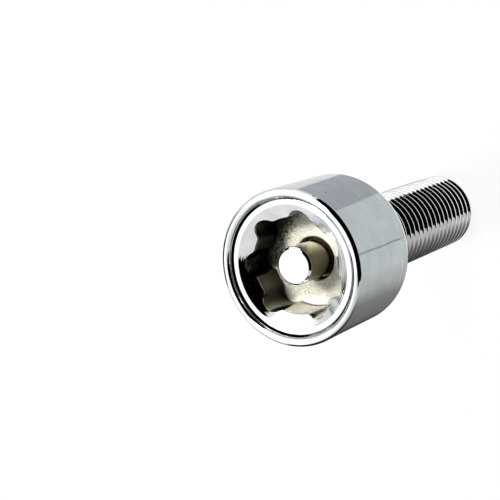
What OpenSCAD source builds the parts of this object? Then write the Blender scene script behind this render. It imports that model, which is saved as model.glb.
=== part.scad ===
// Locking wheel bolt with a free-spinning collar: threaded shank, cone seat, and a barrel head
// with a seven-lobed drive recess round a centre pin. The tip stands on z = 0 and +Z runs up
// the axis to the collar's lip.

/* [Shank] */
// Outer diameter of the thread
thread_d = 12; // [10:0.5:14]
// Length from the tip to the small end of the cone seat
thread_len = 28; // [20:0.5:45]
// How far the tip's chamfer runs up the shank
tip_chamfer_len = 1.35; // [0.8:0.05:2]
// How far the tip's chamfer cuts in from the side
tip_chamfer_in = 0.95; // [0.5:0.05:1.5]

/* [Cone seat] */
// Included angle of the cone seat
seat_angle = 60; // [50:1:90]
// How far the cone's shoulder stands out past the head barrel
seat_step = 0.35; // [0.25:0.05:0.6]

/* [Head] */
// Diameter of the head barrel
head_d = 19.1; // [18.5:0.1:22]
// Width of the flat ring round the head's face
land_w = 0.8; // [0.5:0.05:1]
// Edge break at the rim of the head's face
head_edge = 0.15; // [0.05:0.05:0.3]
// Slope of the sunk face inside that ring, from flat
sink_slope = 30; // [15:1:40]

/* [Drive recess] */
// Depth from the head's face to the recess floor
recess_depth = 6.35; // [4:0.05:8]
// Metal left between a lobe's tip and the side of the head
lobe_wall = 1.6; // [1.3:0.05:2]
// How far the lobes reach out past the recess's round core
lobe_rise = 1.15; // [0.9:0.05:1.4]
// Radius of a lobe's tip
lobe_round = 1.8; // [1.6:0.05:2]
// Radius of the blend between a lobe and the core
lobe_blend = 1; // [0.6:0.05:1.2]

/* [Centre pin] */
// Diameter of the pin
pin_d = 5.4; // [4:0.1:6]
// How far the pin's end lies below the head's face
pin_inset = 0.7; // [0.2:0.05:2]
// Chamfer at the pin's ends
pin_chamfer = 0.35; // [0.1:0.05:0.4]
// Room round the pin where it leaves the recess floor
pin_relief_gap = 0.41; // [0.2:0.01:0.6]
// Depth of that room below the recess floor
pin_relief_depth = 2; // [1:0.1:2.5]
// Depth that the pin is pressed in below that
pin_seat_depth = 4; // [3:0.1:4]

/* [Collar] */
// Length of the collar
collar_len = 15; // [14:0.1:20]
// Thickness of the collar's lip
lip_wall = 1.3; // [1.25:0.05:2]
// How far the lip stands out past the head's face
lip_stand = 0.8; // [0.5:0.1:2]
// Radius that rounds the lip, inside and out
lip_round = 0.6; // [0.3:0.05:0.6]
// Radius of the rounded rear edge
rear_round = 1.05; // [0.6:0.05:1.2]
// Running clearance between the head and the collar's bore
collar_clearance = 0.08; // [0.05:0.01:0.1]
// Wider gap at the collar's mouth
mouth_gap = 0.25; // [0.15:0.01:0.35]
// Depth of that wider mouth
mouth_depth = 6; // [3:0.1:8]
// Edge break inside the collar's rear end
bore_chamfer = 0.15; // [0.1:0.05:0.2]
// End play between the collar and the cone's shoulder
collar_end_play = 0.15; // [0.1:0.01:0.3]

/* [Retaining ring] */
// Diameter of the ring's round wire
wire_d = 1.2; // [0.9:0.05:1.4]
// Height of the ring above the cone's shoulder
ring_up = 4.6; // [3:0.1:5]
// Depth of the collar's groove
collar_groove_depth = 0.55; // [0.4:0.05:0.6]
// Depth of the head's groove
head_groove_depth = 1.3; // [1.1:0.05:1.4]
// Room on each side of the wire in the grooves
wire_clearance = 0.1; // [0.05:0.01:0.15]
// Opening left in the ring, in degrees
ring_opening = 34; // [20:1:60]

/* [Hidden] */
$fn = 96;
cut = 1;

thread_r = thread_d / 2;
head_r = head_d / 2;
seat_r = head_r + seat_step;
land_r = head_r - land_w;
pin_r = pin_d / 2;
wire_r = wire_d / 2;

// Heights above the tip
seat_len = (seat_r - thread_r) / tan(seat_angle / 2);
shoulder_z = thread_len + seat_len;
collar_z = shoulder_z + collar_end_play;
lip_z = collar_z + collar_len;
face_z = lip_z - lip_stand;
floor_z = face_z - recess_depth;
relief_z = floor_z - pin_relief_depth;
pin_z = relief_z - pin_seat_depth;
pin_len = face_z - pin_inset - pin_z;
ring_z = shoulder_z + ring_up;

// Radii that follow the head
bore_r = head_r + collar_clearance;
mouth_r = head_r + mouth_gap;
collar_r = mouth_r + lip_wall;
groove_w = wire_d + 2 * wire_clearance;
collar_groove_r = bore_r + collar_groove_depth;
head_groove_r = head_r - head_groove_depth;
ring_r = collar_groove_r - wire_clearance - wire_r;

// Drive recess: a round core with seven lobes. Each lobe stands a few degrees off its even
// place, and that row of turns is the lock's own pattern.
lobe_turns = [0, -3, -3, 13, -1, -2, -2];
lobe_start = -6;
lobe_pitch = 360 / len(lobe_turns);
lobe_reach = head_r - lobe_wall;
core_r = lobe_reach - lobe_rise;
lobe_r = lobe_reach - lobe_round;
blend_r = core_r + lobe_blend;
blend_angle = acos((lobe_r ^ 2 + blend_r ^ 2 - (lobe_round + lobe_blend) ^ 2) / (2 * lobe_r * blend_r));

function polar(radius, angle) = [radius * cos(angle), radius * sin(angle)];

// One lobe pointing along +X, with a hollow blend on each side where it leaves the core
module lobe() {
    difference() {
        polygon([
            [0, 0],
            polar(blend_r, -blend_angle),
            [lobe_r, 0],
            polar(blend_r, blend_angle)
        ]);
        for (side = [-1, 1])
            translate(polar(blend_r, side * blend_angle)) circle(r = lobe_blend);
    }
    translate([lobe_r, 0]) circle(r = lobe_round);
}

module recess_outline() {
    circle(r = core_r);
    for (i = [0 : len(lobe_turns) - 1])
        rotate(lobe_start + i * lobe_pitch + lobe_turns[i]) lobe();
}

// Lobed recess, its sunk mouth, and the stepped hole that holds the pin
module drive_recess() {
    sink_r = pin_r;
    sink_depth = (land_r - sink_r) * tan(sink_slope);
    translate([0, 0, floor_z]) linear_extrude(recess_depth + cut) recess_outline();
    translate([0, 0, face_z - sink_depth]) cylinder(h = sink_depth, r1 = sink_r, r2 = land_r);
    translate([0, 0, relief_z]) cylinder(h = pin_relief_depth + cut, r = pin_r + pin_relief_gap);
    translate([0, 0, pin_z]) cylinder(h = pin_seat_depth + cut, r = pin_r);
}

// Square-sided groove of outer radius r_out and inner radius r_in, centred on the ring
module ring_groove(r_in, r_out) {
    translate([0, 0, ring_z]) rotate_extrude()
        translate([r_in, -groove_w / 2]) square([r_out - r_in, groove_w]);
}

module bolt_body() {
    color([0.78, 0.79, 0.8]) difference() {
        rotate_extrude() polygon([
            [0, 0],
            [thread_r - tip_chamfer_in, 0],
            [thread_r, tip_chamfer_len],
            [thread_r, thread_len],
            [seat_r, shoulder_z],
            [head_r, shoulder_z],
            [head_r, face_z - head_edge],
            [head_r - head_edge, face_z],
            [0, face_z]
        ]);
        drive_recess();
        ring_groove(head_groove_r, head_r + cut);
    }
}

module centre_pin() {
    color([0.86, 0.85, 0.82]) translate([0, 0, pin_z]) rotate_extrude() polygon([
        [0, 0],
        [pin_r - pin_chamfer, 0],
        [pin_r, pin_chamfer],
        [pin_r, pin_len - pin_chamfer],
        [pin_r - pin_chamfer, pin_len],
        [0, pin_len]
    ]);
}

// Open ring of round wire that sits in the head's groove and springs out into the collar's
module retaining_ring() {
    color([0.45, 0.46, 0.48]) translate([0, 0, ring_z])
        rotate([0, 0, ring_opening / 2]) rotate_extrude(angle = 360 - ring_opening)
            translate([ring_r, 0]) circle(r = wire_r);
}

// Half section of the collar before its bore is cut: solid from the axis out up to the mouth,
// then the mouth's wall, which ends in the rounded lip
module collar_wall() {
    mouth_up = collar_len - mouth_depth;
    square([collar_r - rear_round, mouth_up]);
    translate([0, rear_round]) square([collar_r, mouth_up - rear_round]);
    translate([collar_r - rear_round, rear_round]) circle(r = rear_round);
    translate([mouth_r, mouth_up]) square([lip_wall, mouth_depth - lip_round]);
    translate([mouth_r + lip_round, collar_len - lip_round])
        square([lip_wall - 2 * lip_round, lip_round]);
    for (edge_r = [mouth_r + lip_round, collar_r - lip_round])
        translate([edge_r, collar_len - lip_round]) circle(r = lip_round);
}

module collar() {
    color([0.74, 0.76, 0.78]) difference() {
        translate([0, 0, collar_z]) rotate_extrude() collar_wall();
        translate([0, 0, collar_z - cut]) cylinder(h = collar_len - mouth_depth + 2 * cut, r = bore_r);
        translate([0, 0, collar_z])
            cylinder(h = bore_chamfer, r1 = bore_r + bore_chamfer, r2 = bore_r);
        ring_groove(bore_r - cut, collar_groove_r);
    }
}

bolt_body();
centre_pin();
retaining_ring();
collar();
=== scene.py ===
"""Locking wheel bolt: forged bolt with a lobed drive recess, centre pin, retaining ring and spinning collar."""
import logging
import math
from collections.abc import Callable, Sequence
from dataclasses import asdict, dataclass
from enum import Enum
from functools import cached_property

import bpy
from mathutils import Matrix, Vector


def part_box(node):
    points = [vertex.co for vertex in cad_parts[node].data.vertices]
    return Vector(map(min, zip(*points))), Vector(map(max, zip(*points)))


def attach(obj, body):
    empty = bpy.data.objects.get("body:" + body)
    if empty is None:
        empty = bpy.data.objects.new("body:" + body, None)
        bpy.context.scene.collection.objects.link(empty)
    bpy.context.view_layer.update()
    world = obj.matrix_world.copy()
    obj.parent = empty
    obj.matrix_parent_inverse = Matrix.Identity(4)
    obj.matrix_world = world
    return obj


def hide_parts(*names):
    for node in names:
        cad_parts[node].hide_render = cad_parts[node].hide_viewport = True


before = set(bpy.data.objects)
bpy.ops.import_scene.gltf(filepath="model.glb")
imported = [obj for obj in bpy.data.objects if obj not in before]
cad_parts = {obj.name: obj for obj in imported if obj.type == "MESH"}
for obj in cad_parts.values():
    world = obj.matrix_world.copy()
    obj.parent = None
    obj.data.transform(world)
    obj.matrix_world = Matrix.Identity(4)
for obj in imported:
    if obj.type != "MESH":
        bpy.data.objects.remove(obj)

log = logging.getLogger("bolt")
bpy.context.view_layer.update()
MM = 0.001
TURN = 2 * math.pi
ROOT_3 = math.sqrt(3.0)
Pair = tuple[float, float]
Point = tuple[float, float, float]
Colour = tuple[float, float, float]
Face = tuple[int, ...]
RingShape = Callable[[float], Pair]
Socket = bpy.types.NodeSocket
NodeTree, Object, Material = bpy.types.NodeTree, bpy.types.Object, bpy.types.Material


class End(Enum):
    """The end of a row of rings that a cap closes."""

    START = "start"
    FINISH = "finish"


def add_object(name: str, points: Sequence[Point], faces: Sequence[Face]) -> Object:
    """Makes a mesh object from points in metres, and adds it to the scene at the origin."""
    mesh = bpy.data.meshes.new(name)
    mesh.from_pydata(points, [], faces)
    thing = bpy.data.objects.new(name, mesh)
    bpy.context.scene.collection.objects.link(thing)
    return thing


# Meshes made of rings


@dataclass(frozen=True)
class Corner:
    """A corner of a turned outline, in millimetres, and the radius that rounds it."""

    r: float
    z: float
    blend: float = 0.0


def round_corners(corners: Sequence[Corner], closed: bool = False, step: float = 9.0,
                  hold: float = 0.05) -> list[RingShape]:
    """Turns an outline's corners into arcs, and the outline into rings.

    Args:
        corners: The outline's corners in order.
        closed: Whether the last corner joins the first.
        step: Degrees of turn for each point of an arc.
        hold: Distance of the extra point beside each arc, which keeps the flats flat when shaded smooth.

    Returns:
        A row of round rings, one for each point of the outline.
    """
    places = [Vector((corner.r, corner.z)) for corner in corners]
    count = len(corners)
    points: list[Pair] = []
    for index, (corner, here) in enumerate(zip(corners, places)):
        if not closed and index in (0, count - 1):
            points.append(tuple(here))
            continue
        to_last, to_next = places[index - 1] - here, places[(index + 1) % count] - here
        back, ahead = to_last.normalized(), to_next.normalized()
        half = back.angle(ahead) / 2
        tangent = corner.blend / math.tan(half)
        centre = here + (back + ahead).normalized() * corner.blend / math.sin(half)
        start, end = here + back * tangent - centre, here + ahead * tangent - centre
        sweep = start.angle_signed(end)
        steps = max(3, math.ceil(abs(math.degrees(sweep)) / step))
        arc = [centre + Matrix.Rotation(-sweep * i / steps, 2) @ start for i in range(steps + 1)]
        if to_last.length > 3 * (tangent + hold):
            points.append(tuple(here + back * (tangent + hold)))
        points += [tuple(point) for point in arc]
        if to_next.length > 3 * (tangent + hold):
            points.append(tuple(here + ahead * (tangent + hold)))
    return [circle(r, z) for r, z in points]


def circle(r: float, z: float) -> RingShape:
    """A round ring at one radius and height."""
    return lambda angle: (r, z)


class Shell:
    """Collects rings of points and the faces between them, and makes them a mesh."""

    def __init__(self) -> None:
        """Starts an empty shell."""
        self.points: list[Point] = []
        self.faces: list[Face] = []

    def ring(self, shape: RingShape, columns: int) -> list[int]:
        """Adds a ring of points.

        Args:
            shape: Gives the ring's radius and height at an angle, in millimetres.
            columns: How many points the ring has.

        Returns:
            The indices of its points.
        """
        first = len(self.points)
        for column in range(columns):
            angle = TURN * column / columns
            r, z = shape(angle)
            self.points.append((r * math.cos(angle) * MM, r * math.sin(angle) * MM, z * MM))
        return list(range(first, first + columns))

    def join(self, before: list[int], after: list[int]) -> None:
        """Adds the faces between two rings. The second has as many points as the first, or twice as many."""
        count, ratio = len(before), len(after) // len(before)
        for i in range(count):
            a, b = before[i], before[(i + 1) % count]
            if ratio == 1:
                self.faces.append((a, b, after[(i + 1) % count], after[i]))
                continue
            c, d, e = (after[(2 * i + k) % len(after)] for k in range(3))
            self.faces += [(a, d, c), (a, b, d), (b, e, d)]

    def sweep(self, shapes: Sequence[RingShape], columns: int, closed: bool = False) -> tuple[list[int], list[int]]:
        """Adds a row of rings and the faces between them.

        Args:
            shapes: The rings in order. The faces look to the right of the way that they run, seen in section.
            columns: How many points each ring has.
            closed: Whether the last ring joins the first.

        Returns:
            The first and the last ring.
        """
        rings = [self.ring(shape, columns) for shape in shapes]
        for before, after in zip(rings, rings[1:]):
            self.join(before, after)
        if closed:
            self.join(rings[-1], rings[0])
        return rings[0], rings[-1]

    def close(self, ring: list[int], z: float, end: End) -> None:
        """Closes the ring at one end of a row with a fan to a point on the axis at height z."""
        tip = len(self.points)
        self.points.append((0.0, 0.0, z * MM))
        for a, b in zip(ring, ring[1:] + ring[:1]):
            self.faces.append((tip, b, a) if end is End.START else (a, b, tip))

    def build(self, name: str) -> Object:
        """Makes the shell an object at the origin, shaded smooth."""
        piece = add_object(name, self.points, self.faces)
        piece.data.shade_smooth()
        return piece


# Node trees


class Tree:
    """Adds nodes to a node tree and links them."""

    def __init__(self, tree: NodeTree) -> None:
        """Takes the tree to add to."""
        self.tree = tree

    def add(self, kind: str, *values: object, **settings: object) -> bpy.types.Node:
        """Adds a node.

        Args:
            kind: The node's type, where ShaderNode in front is left out.
            values: For each input in order, a socket to link, a value to set, or None to leave it.
            settings: The node's own settings, by name.

        Returns:
            The new node.
        """
        node = self.tree.nodes.new(kind if "Node" in kind else f"ShaderNode{kind}")
        for name, value in settings.items():
            setattr(node, name, value)
        for socket, value in zip(node.inputs, values):
            self.feed(socket, value)
        return node

    def feed(self, socket: Socket, value: object) -> None:
        """Links a socket to an input, or sets its value."""
        if isinstance(value, Socket):
            self.tree.links.new(value, socket)
        elif value is not None:
            socket.default_value = value

    def math(self, operation: str, *values: object, clamp: bool = False) -> Socket:
        """Adds a maths node and gives its result."""
        node = self.add("Math", *values, operation=operation, use_clamp=clamp)
        return node.outputs[0]

    def plus(self, first: object, second: object) -> Socket:
        """Adds two values."""
        return self.math("ADD", first, second)

    def minus(self, first: object, second: object) -> Socket:
        """Takes the second value from the first."""
        return self.math("SUBTRACT", first, second)

    def times(self, first: object, second: object) -> Socket:
        """Multiplies two values."""
        return self.math("MULTIPLY", first, second)

    def ease(self, value: Socket, low: object, high: object, to_low: float = 0.0, to_high: float = 1.0) -> Socket:
        """Maps a value from low..high onto to_low..to_high with soft ends."""
        node = self.add("MapRange", value, low, high, to_low, to_high, interpolation_type="SMOOTHSTEP")
        return node.outputs[0]

    def scale(self, colour: object, factor: Socket) -> Socket:
        """Brightens or dims a colour by a factor."""
        return self.add("VectorMath", colour, None, None, factor, operation="SCALE").outputs[0]

    def mix(self, share: Socket, first: object, second: object) -> Socket:
        """Mixes two colours by a share."""
        node = self.add("Mix", data_type="RGBA")
        colours = [socket for socket in node.inputs if socket.type == "RGBA"]
        self.feed(node.inputs[0], share)
        for socket, value in zip(colours, (first, second)):
            self.feed(socket, (*value, 1.0) if isinstance(value, tuple) else value)
        return next(socket for socket in node.outputs if socket.type == "RGBA")

    def blend(self, share: Socket, first: object, second: object) -> Socket:
        """Mixes two numbers by a share."""
        return self.add("Mix", share, None, first, second, data_type="FLOAT").outputs[0]

    def noise(self, here: Socket, scale: object, detail: float) -> Socket:
        """Adds a noise texture and gives its level."""
        return self.add("TexNoise", here, None, scale, detail).outputs["Fac"]

    def dots(self, here: Socket, scale: object, share: object, edge: tuple[object, object], level: float) -> Socket:
        """Puts a dot in a share of random cells: the level in its middle, fading to 0 between two radii."""
        cells = self.add("TexVoronoi", here, None, scale).outputs
        draw = self.add("SeparateColor", cells["Color"]).outputs[0]
        dot = self.ease(cells["Distance"], *edge, level, 0.0)
        return self.times(self.math("LESS_THAN", draw, share), dot)

    def off_axis(self, place: Sequence[Socket]) -> Socket:
        """Gives a point's distance from the Z axis."""
        squares = [self.math("POWER", across, 2.0) for across in place[:2]]
        return self.math("SQRT", self.plus(*squares))

    def shown(self) -> Socket:
        """Gives 1 to rays from the camera, off mirrors and through glass, and 0 to the rest."""
        path = self.add("LightPath").outputs
        seen = self.math("MAXIMUM", path["Is Camera Ray"], path["Is Glossy Ray"])
        return self.math("MAXIMUM", seen, path["Is Transmission Ray"])

    def use(self, group: NodeTree, values: dict[str, float]) -> Sequence[Socket]:
        """Adds a node group, sets its inputs by name and gives its outputs."""
        node = self.add("Group", node_tree=group)
        for label, value in values.items():
            node.inputs[label].default_value = value
        return node.outputs


def empty_material(name: str) -> tuple[Material, Tree]:
    """Makes a material with no nodes, and the tree to fill it by."""
    material = bpy.data.materials.new(name)
    material.use_nodes = True
    material.node_tree.nodes.clear()
    return material, Tree(material.node_tree)


class Group(Tree):
    """A node group with named inputs and outputs."""

    def __init__(self, name: str, kind: str, inputs: dict[str, tuple[str, object]], outputs: dict[str, str]) -> None:
        """Makes the group.

        Args:
            name: The group's name.
            kind: Its tree's type.
            inputs: Each input's name, with its kind of socket and its value.
            outputs: Each output's name, with its kind of socket.
        """
        super().__init__(bpy.data.node_groups.new(name, kind))
        for label, (socket_type, value) in inputs.items():
            socket = self.tree.interface.new_socket(label, in_out="INPUT", socket_type=socket_type)
            if value is not None:
                socket.default_value = value
        for label, socket_type in outputs.items():
            self.tree.interface.new_socket(label, in_out="OUTPUT", socket_type=socket_type)
        self.given = self.tree.nodes.new("NodeGroupInput").outputs
        self.result = self.tree.nodes.new("NodeGroupOutput").inputs

    def give(self, **results: Socket) -> NodeTree:
        """Links the group's outputs by name and gives its tree."""
        for label, socket in results.items():
            self.feed(self.result[label], socket)
        return self.tree


FLOAT, VECTOR, INTEGER, GEOMETRY, MATERIAL = (
    f"NodeSocket{kind}" for kind in ("Float", "Vector", "Int", "Geometry", "Material"))


@dataclass(frozen=True)
class ThreadForm:
    """The sizes of a rolled metric thread, in millimetres."""

    pitch: float = 1.5
    crest_r: float = 6.0
    root_r: float = 5.08
    crest_flat: float = 0.26
    edge_blend: float = 0.1
    columns: int = 144
    rows_per_pitch: int = 14
    run_out: float = 2.4
    low: float = 0.02
    high: float = 27.7
    tip_r: float = 5.05
    tip_slope: float = 0.95 / 1.35

    def group(self) -> NodeTree:
        """Builds the Geometry Nodes tree that winds the thread on to a shank and welds it there."""
        sizes = {"Pitch": self.pitch, "Crest radius": self.crest_r, "Root radius": self.root_r,
                 "Crest flat": self.crest_flat, "Edge blend": self.edge_blend, "Run-out": self.run_out,
                 "Low end": self.low, "High end": self.high, "Tip radius": self.tip_r}
        inputs: dict[str, tuple[str, object]] = {"Shank": (GEOMETRY, None)}
        inputs |= {label: (FLOAT, size * MM) for label, size in sizes.items()}
        inputs |= {"Tip slope": (FLOAT, self.tip_slope), "Columns": (INTEGER, self.columns),
                   "Rows per pitch": (INTEGER, self.rows_per_pitch), "Material": (MATERIAL, None)}
        tree = Group("Rolled thread", "GeometryNodeTree", inputs, {"Forging": GEOMETRY})
        given = tree.given
        span = tree.minus(given["High end"], given["Low end"])
        turns = tree.math("CEIL", tree.plus(tree.math("DIVIDE", span, given["Pitch"]), 1.0))
        rows = tree.plus(tree.times(turns, given["Rows per pitch"]), 1.0)
        grid = tree.add("GeometryNodeMeshGrid", 1.0, turns, tree.plus(given["Columns"], 1.0), rows)
        place = tree.add("SeparateXYZ", tree.add("GeometryNodeInputPosition").outputs[0]).outputs
        lap = tree.plus(place[0], 0.5)
        wound = tree.plus(tree.plus(place[1], tree.times(turns, 0.5)), lap)
        raw = tree.plus(tree.times(tree.minus(wound, 1.0), given["Pitch"]), given["Low end"])
        height = tree.math("MINIMUM", tree.math("MAXIMUM", raw, given["Low end"]), given["High end"])
        radius = self._radius(tree, height, lap)
        angle = tree.times(lap, TURN)
        point = tree.add("CombineXYZ", tree.times(radius, tree.math("COSINE", angle)),
                         tree.times(radius, tree.math("SINE", angle)), height)
        wind = tree.add("GeometryNodeSetPosition", grid.outputs["Mesh"], None, point.outputs[0])
        smooth = tree.add("GeometryNodeSetShadeSmooth", wind.outputs[0])
        mark = tree.add("GeometryNodeStoreNamedAttribute", smooth.outputs[0], data_type="BOOLEAN", domain="FACE")
        mark.inputs["Name"].default_value = "rolled"
        mark.inputs["Value"].default_value = True
        both = tree.add("GeometryNodeJoinGeometry", mark.outputs[0])
        tree.tree.links.new(given["Shank"], both.inputs[0])
        weld = tree.add("GeometryNodeMergeByDistance", both.outputs[0])
        weld.inputs["Distance"].default_value = 1e-6
        real = tree.add("GeometryNodeRealizeInstances", weld.outputs[0])
        rolled = tree.add("GeometryNodeInputNamedAttribute", "rolled", data_type="BOOLEAN").outputs["Attribute"]
        paint = tree.add("GeometryNodeSetMaterial", real.outputs[0], rolled, given["Material"])
        return tree.give(Forging=paint.outputs[0])

    def _radius(self, tree: Group, height: Socket, lap: Socket) -> Socket:
        """Gives the thread's radius at a height and a share of a turn: a 60 degree vee with its crest and root eased,
        fading out at the high end and cut off by the tip's chamfer.
        """
        given = tree.given
        up = tree.math("DIVIDE", tree.minus(height, given["Low end"]), given["Pitch"])
        phase = tree.math("FRACT", tree.plus(tree.minus(up, lap), 1.0))
        off = tree.times(tree.math("ABSOLUTE", tree.minus(phase, 0.5)), given["Pitch"])
        fall = tree.minus(off, tree.times(given["Crest flat"], 0.5))
        flank = tree.minus(given["Crest radius"], tree.times(fall, ROOT_3))
        crest = tree.math("SMOOTH_MIN", flank, given["Crest radius"], given["Edge blend"])
        root = tree.math("SMOOTH_MAX", crest, given["Root radius"], given["Edge blend"])
        left = tree.math("DIVIDE", tree.minus(given["High end"], height), given["Run-out"])
        depth = tree.minus(given["Crest radius"], root)
        faded = tree.times(depth, tree.ease(left, 0.0, 1.0))
        above = tree.minus(height, given["Low end"])
        chamfer = tree.plus(given["Tip radius"], tree.times(above, given["Tip slope"]))
        return tree.math("MINIMUM", tree.minus(given["Crest radius"], faded), chamfer)


# Finishes


# The metal's marks, and a ring of painted highlight. Scales are per metre, and depths and widths in metres.
RING_TILT = 0.37
RING_DEPTH, WAVE_DEPTH, GRAIN_DEPTH, PIT_DEPTH = 1.5e-5, 5e-4, 2e-5, 5e-5
PIT_STRENGTH = 0.6
SCRATCH_TURN, SCRATCH_STRETCH, SCRATCH_WIDTH = (0.3, 0.2, 0.6), (1.0, 18.0, 1.0), 0.012
CLOUD_SCALE, CLOUD_EDGE, CLOUD_SHADES = 420.0, (0.3, 0.7), (0.93, 1.04)
# A painted highlight: a thin bright ring, broken into patches.
HIGHLIGHT_COLOUR, HIGHLIGHT_WIDTH = (0.88, 0.89, 0.89), (4e-5, 1.6e-4)
HIGHLIGHT_PATCH_SCALE, HIGHLIGHT_PATCH = 700.0, (0.42, 0.56)

# How the plating gives way in the recess, in the same units, and the painted shade on one side of the recess: where
# that side lies, its blotchy edge, and how dark it gets.
PLATING_EDGE = 5e-5
BARE_BELOW_FLOOR = 0.0065
GRAIN_SCALE, GRAIN_EDGE, GRAIN_SHADES = 5200.0, (0.32, 0.6), (0.66, 1.12)
SPECK_SCALE, SPECK_SHARE, SPECK_EDGE, SPECK_SHADE = 1600.0, 0.25, (0.08, 0.26), -0.75
PAINTED_SHADE_WAY, PAINTED_SHADE_BLOTCH_SCALE, PAINTED_SHADE_SPREAD = (0.99, 0.12), 2400.0, 0.0055
PAINTED_SHADE_EDGE, PAINTED_SHADE_LEVELS = (0.0043, 0.0066), (1.0, 0.15)


def surface_wear() -> NodeTree:
    """Builds the node group for plated and forged metal: turned rings, waves, grain, pits and fine scratches.

    Returns:
        A group that gives a bumped normal, a mask of the pits, and a mask of the scratches.
    """
    inputs = {label: (FLOAT, value) for label, value in Marks().inputs().items()}
    group = Group("Metal surface", "ShaderNodeTree", inputs, {"Normal": VECTOR, "Pits": FLOAT, "Scratches": FLOAT})
    given = group.given
    here = group.add("TexCoord").outputs["Object"]
    pits = group.dots(here, given["Pit scale"], given["Pit share"], (0.0, given["Pit size"]), 1.0)
    long_way = group.add("Mapping", here)
    long_way.inputs["Rotation"].default_value = SCRATCH_TURN
    long_way.inputs["Scale"].default_value = SCRATCH_STRETCH
    lines = group.noise(long_way.outputs[0], given["Scratch scale"], 4.0)
    off = group.math("ABSOLUTE", group.minus(lines, 0.5))
    scratches = group.times(group.ease(off, 0.0, SCRATCH_WIDTH, 1.0, 0.0), given["Scratch share"])
    place = group.add("SeparateXYZ", here).outputs
    along = group.math("MULTIPLY_ADD", place[2], RING_TILT, group.off_axis(place))
    turned = group.add("TexNoise", None, along, given["Ring scale"], 2.0, noise_dimensions="1D")
    normal = None
    for strength, depth, height in (
            (given["Ring height"], RING_DEPTH, turned.outputs["Fac"]),
            (given["Wave height"], WAVE_DEPTH, group.noise(here, given["Wave scale"], 2.0)),
            (given["Grain height"], GRAIN_DEPTH, group.noise(here, given["Grain scale"], 3.0)),
            (PIT_STRENGTH, PIT_DEPTH, group.times(pits, -1.0))):
        bump = group.add("Bump", strength, depth, None, height)
        group.feed(bump.inputs["Normal"], normal)
        normal = bump.outputs[0]
    return group.give(Normal=normal, Pits=pits, Scratches=scratches)


def plating_depth() -> NodeTree:
    """Builds the node group that tells where bright plating gives way to the bare nickel inside a recess.

    Returns:
        A group that gives three masks (down in the recess, at full depth, and on its floor), the speckle of the
        forged floor, and a factor that paints shade on one side of the recess.
    """
    inputs = {label: (FLOAT, value) for label, value in BareNickel().places().items()}
    group = Group("Plating depth", "ShaderNodeTree", inputs,
                  dict.fromkeys(("Bare", "Deep", "Floor", "Speckle", "Clean"), FLOAT))
    given = group.given
    here = group.add("TexCoord").outputs["Object"]
    place = group.add("SeparateXYZ", here).outputs
    out = group.off_axis(place)
    sunk = group.times(group.minus(given["Mouth radius"], out), given["Sunk slope"])
    depth = group.minus(group.minus(given["Mouth height"], sunk), place[2])
    inside = group.math("LESS_THAN", out, given["Mouth radius"])
    lowest = group.minus(given["Floor height"], BARE_BELOW_FLOOR)
    within = group.times(inside, group.math("GREATER_THAN", place[2], lowest))
    grain = group.ease(group.noise(here, GRAIN_SCALE, 4.0), *GRAIN_EDGE, *GRAIN_SHADES)
    specks = group.dots(here, SPECK_SCALE, SPECK_SHARE, SPECK_EDGE, SPECK_SHADE)
    # Painted shade: one side of the recess is darker, with a blotchy edge.
    side = group.math("MULTIPLY_ADD", place[0], PAINTED_SHADE_WAY[0], group.times(place[1], PAINTED_SHADE_WAY[1]))
    shade_blotch = group.minus(group.noise(here, PAINTED_SHADE_BLOTCH_SCALE, 4.0), 0.5)
    painted_shade = group.math("MULTIPLY_ADD", shade_blotch, PAINTED_SHADE_SPREAD, side)
    return group.give(
        Bare=group.times(group.ease(depth, PLATING_EDGE, given["Fade"]), within),
        Deep=group.times(group.ease(depth, 0.0, given["Full depth"]), within),
        Floor=group.math("COMPARE", place[2], given["Floor height"], given["Floor band"]),
        Speckle=group.times(grain, group.plus(specks, 1.0)),
        Clean=group.ease(painted_shade, *PAINTED_SHADE_EDGE, *PAINTED_SHADE_LEVELS))


@dataclass(frozen=True)
class BareNickel:
    """The duller nickel that shows where bright plating doesn't reach. Sizes in millimetres."""

    # The walls are far darker than the floor, and darker still with depth: partly the bare nickel's own tone, partly
    # painted shade in the recess.
    colour: Colour = (0.064, 0.057, 0.042)
    deep_colour_and_shade: Colour = (0.044, 0.038, 0.027)
    floor_colour: Colour = (0.29, 0.28, 0.235)
    # Painted shade in the recess's corners.
    corner_shade_colour: Colour = (0.01, 0.009, 0.006)
    roughness: float = 0.16
    floor_roughness: float = 0.5
    mouth_r: float = 8.75
    mouth_z: float = 49.105
    slope: float = 0.577
    fade: float = 0.4
    full_depth: float = 4.0
    floor_z: float = 42.67
    floor_band: float = 0.125

    def places(self) -> dict[str, float]:
        """Gives the inputs of the node group that finds the bare nickel, in metres."""
        return {"Mouth radius": self.mouth_r * MM, "Mouth height": self.mouth_z * MM, "Sunk slope": self.slope,
                "Fade": self.fade * MM, "Full depth": self.full_depth * MM, "Floor height": self.floor_z * MM,
                "Floor band": self.floor_band * MM}


@dataclass(frozen=True)
class Marks:
    """How a metal's surface is marked. Scales are per metre, and the heights and shares run from 0 to 1."""

    wave_scale: float = 300.0
    wave_height: float = 0.05
    grain_scale: float = 9000.0
    grain_height: float = 0.1
    pit_scale: float = 700.0
    pit_size: float = 0.06
    pit_share: float = 0.25
    scratch_scale: float = 260.0
    scratch_share: float = 0.25
    ring_scale: float = 2500.0
    ring_height: float = 0.75

    def inputs(self) -> dict[str, float]:
        """Gives the inputs of the node group of surface marks, by name."""
        return {name.replace("_", " ").capitalize(): value for name, value in asdict(self).items()}


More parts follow.
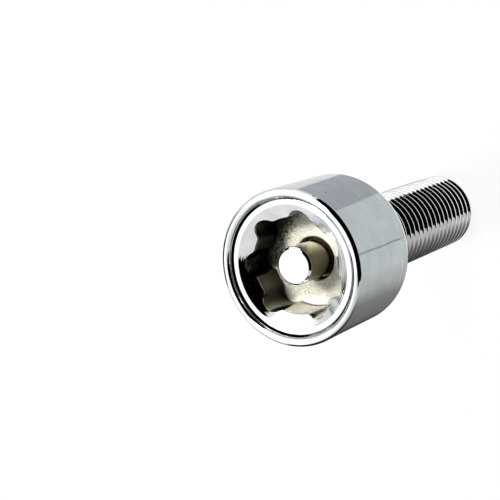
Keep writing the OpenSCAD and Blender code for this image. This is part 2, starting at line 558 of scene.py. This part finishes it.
@dataclass(frozen=True)
class Metal:
    """A metal finish: its colours, its roughness, and how its surface is marked."""

    name: str
    colour: Colour
    roughness: float
    mark_colour: Colour = (0.12, 0.115, 0.105)
    mark_roughness: float = 0.35
    marks: Marks = Marks()
    # Where a thin ring of painted highlight runs, if anywhere.
    highlight_z: float | None = None
    bare: BareNickel | None = None

    def material(self, wear: NodeTree, depth: NodeTree) -> Material:
        """Builds the finish.

        Args:
            wear: The node group of surface marks.
            depth: The node group that tells where the plating gives way to bare nickel.

        Returns:
            The material.
        """
        material = bpy.data.materials.new(self.name)
        material.use_nodes = True
        tree = Tree(material.node_tree)
        shader = material.node_tree.nodes["Principled BSDF"]
        marks = tree.use(wear, self.marks.inputs())
        here = tree.add("TexCoord").outputs["Object"]
        cloud = tree.noise(here, CLOUD_SCALE, 3.0)
        base = tree.scale(self.colour, tree.ease(cloud, *CLOUD_EDGE, *CLOUD_SHADES))
        rough = tree.math("MULTIPLY_ADD", tree.ease(cloud, 0.35, 0.7), self.roughness * 0.6, self.roughness * 0.7)
        if self.bare is not None:
            base, rough = self._bared(tree, tree.use(depth, self.bare.places()), base, rough)
        # A thin ring of painted highlight.
        if self.highlight_z is not None:
            base = self._painted_highlight(tree, here, base)
        base = tree.mix(marks["Pits"], base, self.mark_colour)
        worn = tree.math("MAXIMUM", marks["Pits"], marks["Scratches"])
        rough = tree.math("MULTIPLY_ADD", worn, self.mark_roughness, rough, clamp=True)
        shader.inputs["Metallic"].default_value = 1.0
        tree.feed(shader.inputs["Base Color"], base)
        tree.feed(shader.inputs["Roughness"], rough)
        tree.feed(shader.inputs["Normal"], marks["Normal"])
        return material

    def _bared(self, tree: Tree, down: Sequence[Socket], base: Socket, rough: Socket) -> tuple[Socket, Socket]:
        """Lets the nickel show down in the recess: its walls and speckled floor, with painted shade on one side and in
        the corners.
        """
        bare = self.bare
        # Darker with depth: partly the nickel's own tone, partly painted shade.
        nickel = tree.mix(down["Deep"], bare.colour, bare.deep_colour_and_shade)
        nickel = tree.mix(down["Floor"], nickel, tree.scale(bare.floor_colour, down["Speckle"]))
        # The painted shade dims the bare nickel on one side of the recess.
        base = tree.mix(down["Bare"], base, tree.scale(nickel, down["Clean"]))
        # Painted shade: the corner attribute darkens the mouth's rounding and the wall's foot.
        corner = tree.add("Attribute", attribute_name="corner").outputs["Fac"]
        dull = tree.blend(down["Floor"], bare.roughness, bare.floor_roughness)
        return tree.mix(corner, base, bare.corner_shade_colour), tree.blend(down["Bare"], rough, dull)

    def _painted_highlight(self, tree: Tree, here: Socket, base: Socket) -> Socket:
        """Paints a thin ring of highlight, broken into patches."""
        height = tree.add("SeparateXYZ", here).outputs[2]
        off = tree.math("ABSOLUTE", tree.minus(height, self.highlight_z * MM))
        patches = tree.ease(tree.noise(here, HIGHLIGHT_PATCH_SCALE, 3.0), *HIGHLIGHT_PATCH)
        return tree.mix(tree.times(tree.ease(off, *HIGHLIGHT_WIDTH, 1.0, 0.0), patches), base, HIGHLIGHT_COLOUR)


CHROME = Metal("Bright chrome", (0.66, 0.68, 0.675), 0.035, bare=BareNickel())
# The collar gets a ring of painted highlight.
COLLAR_CHROME = Metal("Collar chrome", (0.63, 0.66, 0.665), 0.03, highlight_z=37.3,
                      marks=Marks(pit_scale=300.0, pit_size=0.08, pit_share=1.0, ring_height=0.08))
# The pin's brown band around and below the recess floor's level is partly its own tone and partly painted light that
# lightens its side in the shaded gap of its hole.
PIN_METAL = Metal("Pin nickel", (0.66, 0.66, 0.65), 0.05,
                  bare=BareNickel((0.19, 0.18, 0.135), (0.13, 0.1, 0.057), (0.36, 0.22, 0.1), roughness=0.14,
                                  mouth_z=48.1, slope=0.0, fade=0.2, full_depth=5.5,
                                  floor_z=41.7, floor_band=1.15))
SPRING_STEEL = Metal("Spring steel", (0.36, 0.36, 0.37), 0.28, marks=Marks(grain_height=0.4))


# The object's pieces


@dataclass
class ForgedBolt:
    """The bolt: threaded shank, cone seat and barrel head with its lobed recess. Sizes in millimetres and degrees."""

    face_z: float
    seat_r: float
    thread: ThreadForm = ThreadForm()
    columns: int = 288
    neck_z: float = 28.0
    head_r: float = 9.55
    land_r: float = 8.75
    sink_slope: float = 30.0
    recess_depth: float = 6.35
    core_r: float = 6.8
    lobe_r: float = 6.15
    lobe_round: float = 1.8
    lobe_blend: float = 1.0
    lobe_start: float = -6.0
    lobe_turns: tuple[float, ...] = (0, -3, -3, 13, -1, -2, -2)
    mouth_blend: float = 0.14
    floor_blend: float = 0.02
    hole_r: float = 3.11
    hole_depth: float = 2.0
    pin_r: float = 2.7
    pin_seat_depth: float = 4.0
    ring_z: float = 39.355
    groove_w: float = 1.4
    groove_r: float = 8.25
    groove_blend: float = 0.12
    inset: float = 0.3
    # How dark the painted shade in the recess's corners is.
    grime: float = 0.85
    sunk_shares: tuple[float, ...] = (0.35, 0.7, 0.93)
    mouth_shares: tuple[float, ...] = (0.0, 0.25, 0.5, 0.75, 1.0)
    wall_shares: tuple[float, ...] = (0.03, 0.25, 0.5, 0.75, 0.97)
    foot_shares: tuple[float, ...] = (0.0, 0.5, 1.0)
    floor_shares: tuple[float, ...] = (0.07, 0.35, 0.7)

    @cached_property
    def floor_z(self) -> float:
        """The height of the recess's floor."""
        return self.face_z - self.recess_depth

    @cached_property
    def blend_r(self) -> float:
        """How far the centres of the hollow blends lie from the axis."""
        return self.core_r + self.lobe_blend

    @cached_property
    def blend_angle(self) -> float:
        """The angle between a lobe and the centre of each of its blends, in radians."""
        reach = self.lobe_round + self.lobe_blend
        return math.acos((self.lobe_r ** 2 + self.blend_r ** 2 - reach ** 2) / (2 * self.lobe_r * self.blend_r))

    @cached_property
    def meet_angle(self) -> float:
        """The angle between a lobe and the point where its tip arc meets a blend, in radians."""
        share = self.lobe_round / (self.lobe_round + self.lobe_blend)
        x = self.lobe_r + share * (self.blend_r * math.cos(self.blend_angle) - self.lobe_r)
        return math.atan2(share * self.blend_r * math.sin(self.blend_angle), x)

    @cached_property
    def lobe_angles(self) -> list[float]:
        """Where each lobe points, in radians."""
        pitch = 360 / len(self.lobe_turns)
        return [math.radians(self.lobe_start + i * pitch + turn) for i, turn in enumerate(self.lobe_turns)]

    @cached_property
    def outline(self) -> list[float]:
        """The recess's radius at each column."""
        return [self.recess_radius(TURN * column / self.columns) for column in range(self.columns)]

    def recess_radius(self, angle: float) -> float:
        """Gives the recess's radius at an angle in radians: the round core, or a lobe where that reaches further."""
        reach = self.core_r
        for lobe in self.lobe_angles:
            off = abs((angle - lobe + math.pi) % TURN - math.pi)
            if off <= self.meet_angle:
                side = self.lobe_r * math.sin(off)
                reach = max(reach, self.lobe_r * math.cos(off) + math.sqrt(self.lobe_round ** 2 - side ** 2))
            elif off < self.blend_angle:
                side = self.blend_r * math.sin(self.blend_angle - off)
                inner = self.blend_r * math.cos(self.blend_angle - off)
                reach = max(reach, inner - math.sqrt(self.lobe_blend ** 2 - side ** 2))
        return reach

    def sunk_z(self, r: float) -> float:
        """The height of the sunk face at a radius."""
        return self.face_z - (self.land_r - r) * math.tan(math.radians(self.sink_slope))

    def _outer(self) -> list[RingShape]:
        """The turned outside, from the neck up to the land."""
        thread, blend, inner = self.thread, self.groove_blend, self.land_r - self.inset
        low, high = self.ring_z - self.groove_w / 2, self.ring_z + self.groove_w / 2
        shoulder_z = self.neck_z + (self.seat_r - thread.crest_r) * ROOT_3
        corners = [
            Corner(thread.crest_r, thread.high), Corner(thread.crest_r, self.neck_z, 0.8),
            Corner(self.seat_r, shoulder_z, 0.15), Corner(self.head_r, shoulder_z, 0.1),
            Corner(self.head_r, low, blend), Corner(self.groove_r, low, blend),
            Corner(self.groove_r, high, blend), Corner(self.head_r, high, blend),
            Corner(self.head_r, self.face_z, 0.15), Corner(self.land_r, self.face_z, 0.06),
            Corner(inner, self.sunk_z(inner)),
        ]
        return round_corners(corners)

    def _sunk(self, edge: float, share: float) -> Pair:
        """A point of the sunk face, on the way in from the land to the recess's mouth."""
        start = self.land_r - self.inset
        end = edge + self.mouth_blend * (1 - math.sin(math.radians(self.sink_slope)))
        r = start + (end - start) * share
        return r, self.sunk_z(r)

    def _mouth_z(self, edge: float) -> float:
        """The height at which the mouth's rounding meets the recess's wall."""
        return self.sunk_z(edge + self.mouth_blend) - self.mouth_blend / math.cos(math.radians(self.sink_slope))

    def _mouth(self, edge: float, share: float) -> Pair:
        """A point of the rounding between the sunk face and the wall."""
        turn = math.radians(self.sink_slope + (90 - self.sink_slope) * share)
        return (edge + self.mouth_blend * (1 - math.sin(turn)),
                self._mouth_z(edge) + self.mouth_blend * math.cos(turn))

    def _wall(self, edge: float, share: float) -> Pair:
        """A point of the wall, on the way down."""
        top = self._mouth_z(edge)
        return edge, top + (self.floor_z + self.floor_blend - top) * share

    def _foot(self, edge: float, share: float) -> Pair:
        """A point of the rounding between the wall and the floor."""
        turn = share * math.pi / 2
        return (edge - self.floor_blend * (1 - math.cos(turn)),
                self.floor_z + self.floor_blend * (1 - math.sin(turn)))

    def _floor(self, edge: float, share: float) -> Pair:
        """A point of the floor, on the way in to the pin's hole."""
        start, end = edge - self.floor_blend, self.hole_r + self.inset
        return start + (end - start) * share, self.floor_z

    def _follow(self, rule: Callable[[float, float], Pair], share: float) -> RingShape:
        """Makes a rule for one place of the recess into a ring that follows the lobes."""
        return lambda angle: rule(self.outline[round(angle / TURN * self.columns) % self.columns], share)

    def _recess(self) -> list[RingShape]:
        """The sunk face, the lobed wall and the floor, from the land in to the pin's hole."""
        stretches = ((self._sunk, self.sunk_shares), (self._mouth, self.mouth_shares),
                     (self._wall, self.wall_shares), (self._foot, self.foot_shares), (self._floor, self.floor_shares))
        return [self._follow(rule, share) for rule, shares in stretches for share in shares]

    def _hole(self) -> list[RingShape]:
        """The stepped hole that holds the pin, from the recess's floor down."""
        relief_z = self.floor_z - self.hole_depth
        corners = [
            Corner(self.hole_r + self.inset, self.floor_z), Corner(self.hole_r, self.floor_z, 0.2),
            Corner(self.hole_r, relief_z, 0.15),
            Corner(self.pin_r, relief_z, 0.02), Corner(self.pin_r, relief_z - self.pin_seat_depth, 0.1),
            Corner(self.pin_r - self.inset, relief_z - self.pin_seat_depth),
        ]
        return round_corners(corners)

    def mesh(self, chrome: Material) -> Object:
        """Builds the forging as one closed mesh, with the thread wound on by Geometry Nodes.

        Args:
            chrome: The bolt's finish.

        Returns:
            The bolt, a plain mesh at the origin.
        """
        thread, shell = self.thread, Shell()
        tip = round_corners([Corner(thread.tip_r - 0.5, 0.0), Corner(thread.tip_r - 0.02, 0.0, 0.03),
                             Corner(thread.tip_r, thread.low)])
        first, _ = shell.sweep(tip, thread.columns)
        shell.close(first, 0.0, End.START)
        neck = shell.ring(circle(thread.crest_r, thread.high), thread.columns)
        outer = self._outer()[1:]
        start, end = shell.sweep(outer + self._recess() + self._hole(), self.columns)
        shell.join(neck, start)
        shell.close(end, self.floor_z - self.hole_depth - self.pin_seat_depth, End.FINISH)
        blank = shell.build("forged_bolt")
        # Painted shade in the corners: the rings of the mouth's rounding and the wall's foot get the corner attribute.
        mouth, wall = len(self.sunk_shares), len(self.sunk_shares + self.mouth_shares + self.wall_shares)
        shaded_rings = {*range(mouth + 1, mouth + len(self.mouth_shares)), *range(wall, wall + len(self.foot_shares))}
        first = start[0] + len(outer) * self.columns
        grime = [self.grime * ((i - first) // self.columns in shaded_rings) for i in range(len(shell.points))]
        blank.data.attributes.new("corner", "FLOAT", "POINT").data.foreach_set("value", grime)
        blank.data.materials.append(chrome)
        return self._wind(blank, chrome)

    def _wind(self, blank: Object, chrome: Material) -> Object:
        """Adds the thread to the blank with a Geometry Nodes modifier, and makes the result a plain mesh."""
        group = self.thread.group()
        modifier = blank.modifiers.new("Rolled thread", "NODES")
        modifier.node_group = group
        for item in group.interface.items_tree:
            if item.in_out == "INPUT" and item.name == "Material":
                modifier[item.identifier] = chrome
        evaluated = blank.evaluated_get(bpy.context.evaluated_depsgraph_get())
        mesh = bpy.data.meshes.new_from_object(evaluated)
        blank.modifiers.clear()
        blank.data = mesh
        mesh.name = blank.name
        return blank


@dataclass
class CentrePin:
    """The plain pin in the middle of the recess. Sizes in millimetres."""

    low: float
    high: float
    r: float
    edge: float = 0.3
    columns: int = 160

    def mesh(self) -> Object:
        """Builds the pin as a closed turned mesh with chamfered ends."""
        shell = Shell()
        inner = self.r - self.edge
        corners = [Corner(0.6, self.low), Corner(inner, self.low, 0.06), Corner(self.r, self.low + self.edge, 0.06),
                   Corner(self.r, self.high - self.edge, 0.08), Corner(inner, self.high, 0.08), Corner(0.6, self.high)]
        first, last = shell.sweep(round_corners(corners), self.columns)
        shell.close(first, self.low, End.START)
        shell.close(last, self.high, End.FINISH)
        return shell.build("turned_centre_pin")


@dataclass
class Collar:
    """The sleeve that spins on the head. Sizes in millimetres."""

    low: float
    high: float
    r: float
    bore_r: float = 9.63
    mouth_r: float = 9.8
    mouth_depth: float = 6.0
    lip_round: float = 0.6
    rear_round: float = 1.05
    groove_r: float = 10.18
    groove_z: float = 39.355
    groove_w: float = 1.4
    columns: int = 320

    def mesh(self) -> Object:
        """Builds the collar as a closed turned mesh."""
        low, high = self.groove_z - self.groove_w / 2, self.groove_z + self.groove_w / 2
        step_z = self.high - self.mouth_depth
        corners = [
            Corner(self.bore_r, self.low, 0.15), Corner(self.r, self.low, self.rear_round),
            Corner(self.r, self.high, self.lip_round), Corner(self.mouth_r, self.high, self.lip_round),
            Corner(self.mouth_r, step_z, 0.05), Corner(self.bore_r, step_z, 0.05),
            Corner(self.bore_r, high, 0.08), Corner(self.groove_r, high, 0.08),
            Corner(self.groove_r, low, 0.08), Corner(self.bore_r, low, 0.08),
        ]
        shell = Shell()
        shell.sweep(round_corners(corners, closed=True, step=5.0), self.columns, closed=True)
        return shell.build("turned_collar")


# The studio


Shades = tuple[Pair, ...]


def shade_at(shades: Shades, azimuth: float) -> float:
    """Gives the brightness at an azimuth in degrees, between its two neighbours in the list."""
    for (low, first), (high, second) in zip(shades, shades[1:]):
        if azimuth <= high:
            return first + (second - first) * (azimuth - low) / (high - low)
    return shades[-1][1]


@dataclass(frozen=True)
class Panel:
    """A curved panel of the studio, part of a dome round the object. Angles in degrees, the distance in metres."""

    name: str
    azimuth: Pair
    elevation: Pair
    strength: float
    distance: float = 0.6
    tint: Colour = (1.0, 1.0, 1.0)
    shades: Shades = ()

    def build(self) -> Object:
        """Builds the panel, hidden from the camera, as part of the stage."""
        columns, rows = 24, 16
        points, levels = [], []
        for row in range(rows + 1):
            up = math.radians(self.elevation[0] + (self.elevation[1] - self.elevation[0]) * row / rows)
            for column in range(columns + 1):
                azimuth = self.azimuth[0] + (self.azimuth[1] - self.azimuth[0]) * column / columns
                turn, flat = math.radians(azimuth), self.distance * math.cos(up)
                points.append((flat * math.cos(turn), flat * math.sin(turn), self.distance * math.sin(up)))
                levels.append(shade_at(self.shades, azimuth) if self.shades else self.strength)
        faces = [(i, i + columns + 1, i + columns + 2, i + 1)
                 for row in range(rows) for i in range(row * (columns + 1), row * (columns + 1) + columns)]
        return stage_mesh(self.name, points, faces, levels, self.tint)


@dataclass(frozen=True)
class FloorCard:
    """A flat card that lies on the floor and shows only in the chrome. Corners in millimetres."""

    name: str
    corners: tuple[Pair, ...]
    strength: float
    height: float = 0.3
    tint: Colour = (1.0, 1.0, 1.0)

    def build(self) -> Object:
        """Builds the card as part of the stage."""
        points = [(x * MM, y * MM, self.height * MM) for x, y in self.corners]
        return stage_mesh(self.name, points, [tuple(range(len(points)))], [self.strength] * len(points),
                          self.tint)


@dataclass(frozen=True)
class FloorFan:
    """A fan of card on the floor, shaded from one side to the other, that shows only in the chrome."""

    name: str
    radius: Pair
    shades: Shades
    tint: Colour = (1.0, 1.0, 1.0)
    height: float = 0.2
    step: float = 3.0

    def build(self) -> Object:
        """Builds the fan as part of the stage. Its shades are pairs of azimuth in degrees and brightness."""
        start, end = self.shades[0][0], self.shades[-1][0]
        count = math.ceil((end - start) / self.step)
        points, levels = [], []
        for column in range(count + 1):
            azimuth = start + (end - start) * column / count
            for r in self.radius:
                turn = math.radians(azimuth)
                points.append((r * math.cos(turn) * MM, r * math.sin(turn) * MM, self.height * MM))
                levels.append(shade_at(self.shades, azimuth))
        faces = [(2 * i, 2 * i + 1, 2 * i + 3, 2 * i + 2) for i in range(count)]
        return stage_mesh(self.name, points, faces, levels, self.tint)


def stage_mesh(name: str, points: Sequence[Point], faces: Sequence[Face], levels: Sequence[float],
               tint: Colour) -> Object:
    """Makes a glowing or black sheet of the stage that shows only in the chrome.

    Args:
        name: The sheet's name.
        points: Its points, in metres.
        faces: Its faces.
        levels: The brightness at each point, where 1 is white and 0 is black.
        tint: Its colour.

    Returns:
        The sheet.
    """
    sheet = add_object(name, points, faces)
    material, tree = empty_material(name)
    sheet.data.attributes.new("level", "FLOAT", "POINT").data.foreach_set("value", levels)
    glow = tree.add("Emission", (*tint, 1.0), tree.add("Attribute", attribute_name="level").outputs["Fac"])
    tree.feed(tree.add("OutputMaterial").inputs["Surface"], glow.outputs[0])
    sheet.data.materials.append(material)
    sheet.visible_camera = sheet.visible_diffuse = sheet.visible_transmission = sheet.visible_shadow = False
    return sheet


@dataclass
class Studio:
    """The floor, world, lamps, panels and floor cards."""

    floor_size: float = 4.0
    floor_white: float = 0.9
    floor_glow: float = 0.88
    floor_drop: float = 2e-5
    panels: tuple[Panel, ...] = (
        Panel("dark_side_low", (-160, -54), (0, 20), 0, 0.5),
        Panel("dark_side_mid", (-169, -50), (20, 45), 0, 0.5),
        Panel("dark_side_high", (-177, -46), (45, 78), 0, 0.5),
        Panel("top_softbox", (-5, 105), (30, 89), 1.7, 0.7),
        Panel("zenith_softbox", (-180, 180), (78, 89.9), 1.7, 0.68),
        Panel("right_softbox", (-50, 4), (22, 56), 1.9, 0.7),
        Panel("hot_softbox", (-32, 8), (58, 72), 138, 0.66),
        Panel("left_sky", (105, 172), (0, 62), 1.06, 0.66),
        Panel("far_sky", (76, 105), (3, 30), 1.12, 0.66),
        Panel("far_edge", (37, 60), (13.4, 40), 0.02, 0.64),
        Panel("low_far_edge", (42.5, 60), (3.4, 13.4), 0.02, 0.64),
        Panel("side_far_edge", (28, 37), (19, 40), 0.1, 0.64),
        Panel("low_shank_card", (80, 106), (0, 50), 0.02, 0.062),
        Panel("shank_card", (106, 204), (0, 67), 1, 0.062, shades=(
            (106, 0), (140, 0.03), (150, 0.06), (162, 0.11), (172, 0.2), (179, 0.3), (186, 0.62),
            (204, 0.72))),
    )
    cards: tuple[FloorCard | FloorFan, ...] = (
        FloorFan("plain_table", (7.5, 62), ((20, 0.76), (352, 0.76)), tint=(0.95, 1, 1.015), height=0.05),
        FloorFan("white_card", (10, 62), ((-8, 0.88), (20, 0.88)), height=0.05),
        FloorCard("grey_card", ((11, -26), (17, -60), (60, -50), (50, -8), (24, -3)), 0.52,
                  tint=(0.95, 0.98, 1.06)),
        FloorFan("dark_table", (62, 520), ((-160, 0), (-54, 0))),
        FloorFan("table_seam", (31.2, 62), ((-134.6, 0.38), (-132.4, 0.38)), height=0.35),
        FloorFan("inner_table", (7.5, 23), ((-165, 1.6), (59, 1.6)), height=0.25),
        FloorFan("shank_table", (7.5, 24), (
            (59, 0), (100, 0.02), (118, 0.08), (140, 0.25), (162, 0.5), (185, 0.75),
            (200, 0.8)), height=0.25),
        FloorFan("far_table", (34, 1900), ((24, 0.9), (30, 0.3), (36, 0.03), (56, 0.03), (64, 0.7),
                                               (76, 0.85))),
        FloorFan("shaded_table", (7.5, 75), (
            (95, 0.023), (102, 0.046), (113, 0.115), (124, 0.173), (135, 0.208), (145, 0.239),
            (156, 0.273), (167, 0.42), (177, 0.57), (188, 0.65), (200, 0.76))),
    )

    def build(self) -> None:
        """Builds everything of the stage, and sets the colour management."""
        self._world()
        self._floor()
        for sheet in (*self.panels, *self.cards):
            sheet.build()
        for name, place, size, power in (("key_lamp", (0.25, 0.42, 0.68), 0.4, 5.0),
                                         ("fill_lamp", (0.5, -0.5, 0.6), 0.5, 3.0)):
            self._lamp(name, Vector(place), size, power)
        bpy.context.scene.view_settings.view_transform = "Standard"

    def _world(self) -> None:
        """Makes the world white to the camera and to mirrors, and a plain level of light elsewhere."""
        world = bpy.data.worlds.new("Studio")
        world.use_nodes = True
        bpy.context.scene.world = world
        world.node_tree.nodes.clear()
        tree = Tree(world.node_tree)
        strength = tree.math("MULTIPLY_ADD", tree.shown(), 0.5, 0.5)
        back = tree.add("Background", (1.0, 1.0, 1.0, 1.0), strength)
        tree.feed(tree.add("OutputWorld").inputs["Surface"], back.outputs[0])

    def _floor(self) -> None:
        """Makes the pale floor, white to the camera and to mirrors, with the object's shadow kept."""
        half, z = self.floor_size / 2, -self.floor_drop
        points = [(-half, -half, z), (half, -half, z), (half, half, z), (-half, half, z)]
        floor = add_object("floor", points, [(0, 1, 2, 3)])
        material, tree = empty_material("Pale floor")
        matt = tree.add("BsdfDiffuse", (self.floor_white,) * 3 + (1.0,))
        glow = tree.add("Emission", (1.0, 1.0, 1.0, 1.0), 1.0)
        both = tree.add("MixShader", tree.times(tree.shown(), self.floor_glow), matt.outputs[0], glow.outputs[0])
        tree.feed(tree.add("OutputMaterial").inputs["Surface"], both.outputs[0])
        floor.data.materials.append(material)

    def _lamp(self, name: str, place: Vector, size: float, power: float) -> None:
        """Adds a soft lamp that looks at the object and doesn't show in the chrome."""
        light = bpy.data.lights.new(name, "AREA")
        light.shape, light.size, light.energy = "DISK", size, power
        lamp = bpy.data.objects.new(name, light)
        lamp.location = place
        lamp.rotation_euler = (-place).to_track_quat("-Z", "Y").to_euler()
        lamp.visible_glossy = False
        bpy.context.scene.collection.objects.link(lamp)


@dataclass
class PhotoCamera:
    """The camera at the photograph's viewing angle. Angles in degrees, places in millimetres."""

    lens: float = 85.4009
    aim: Point = (11.1389, 10.7885, 36.1009)
    distance: float = 181.6355
    azimuth: float = -120.5708
    elevation: float = 54.1608
    roll: float = -109.0017
    sensor: float = 36.0
    nearest: float = 10.0

    def build(self) -> None:
        """Builds the camera and makes it the scene's own."""
        turn, up = math.radians(self.azimuth), math.radians(self.elevation)
        back = Vector((math.cos(up) * math.cos(turn), math.cos(up) * math.sin(turn), math.sin(up)))
        data = bpy.data.cameras.new("photo_camera")
        data.lens, data.sensor_width, data.clip_start = self.lens, self.sensor, self.nearest * MM
        camera = bpy.data.objects.new("photo_camera", data)
        place = (Vector(self.aim) + back * self.distance) * MM
        level = (-back).to_track_quat("-Z", "Y").to_matrix().to_4x4()
        camera.matrix_world = Matrix.Translation(place) @ level @ Matrix.Rotation(math.radians(self.roll), 4, "Z")
        bpy.context.scene.collection.objects.link(camera)
        bpy.context.scene.camera = camera


def millimetres(node: str) -> tuple[Vector, Vector]:
    """Gives a CAD node's lowest and highest corners in millimetres."""
    low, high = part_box(node)
    return Vector(low) / MM, Vector(high) / MM


def seat(piece: Object, node: str, body: str) -> None:
    """Lets a piece stand for a CAD node and ride on its body."""
    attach(piece, body)
    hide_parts(node)
    log.info("%s stands for %s: %d faces", piece.name, node, len(piece.data.polygons))


def main() -> None:
    """Builds the object, dresses it and sets the studio."""
    logging.basicConfig(level=logging.INFO, format="%(message)s")
    wear, depth = surface_wear(), plating_depth()
    chrome, collar_chrome, pin_metal, spring = (
        metal.material(wear, depth) for metal in (CHROME, COLLAR_CHROME, PIN_METAL, SPRING_STEEL))
    _, high = millimetres("bolt_body")
    bolt = ForgedBolt(face_z=high.z, seat_r=high.x).mesh(chrome)
    seat(bolt, "bolt_body", "bolt")
    low, high = millimetres("centre_pin")
    pin = CentrePin(low=low.z, high=high.z, r=high.x).mesh()
    pin.data.materials.append(pin_metal)
    seat(pin, "centre_pin", "bolt")
    low, high = millimetres("collar")
    collar = Collar(low=low.z, high=high.z, r=high.x).mesh()
    collar.data.materials.append(collar_chrome)
    seat(collar, "collar", "collar")
    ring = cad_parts["retaining_ring"]
    for slot in ring.material_slots:
        slot.material = spring
    log.info("retaining_ring keeps its CAD mesh")
    Studio().build()
    PhotoCamera().build()


if __name__ == "__main__":
    main()
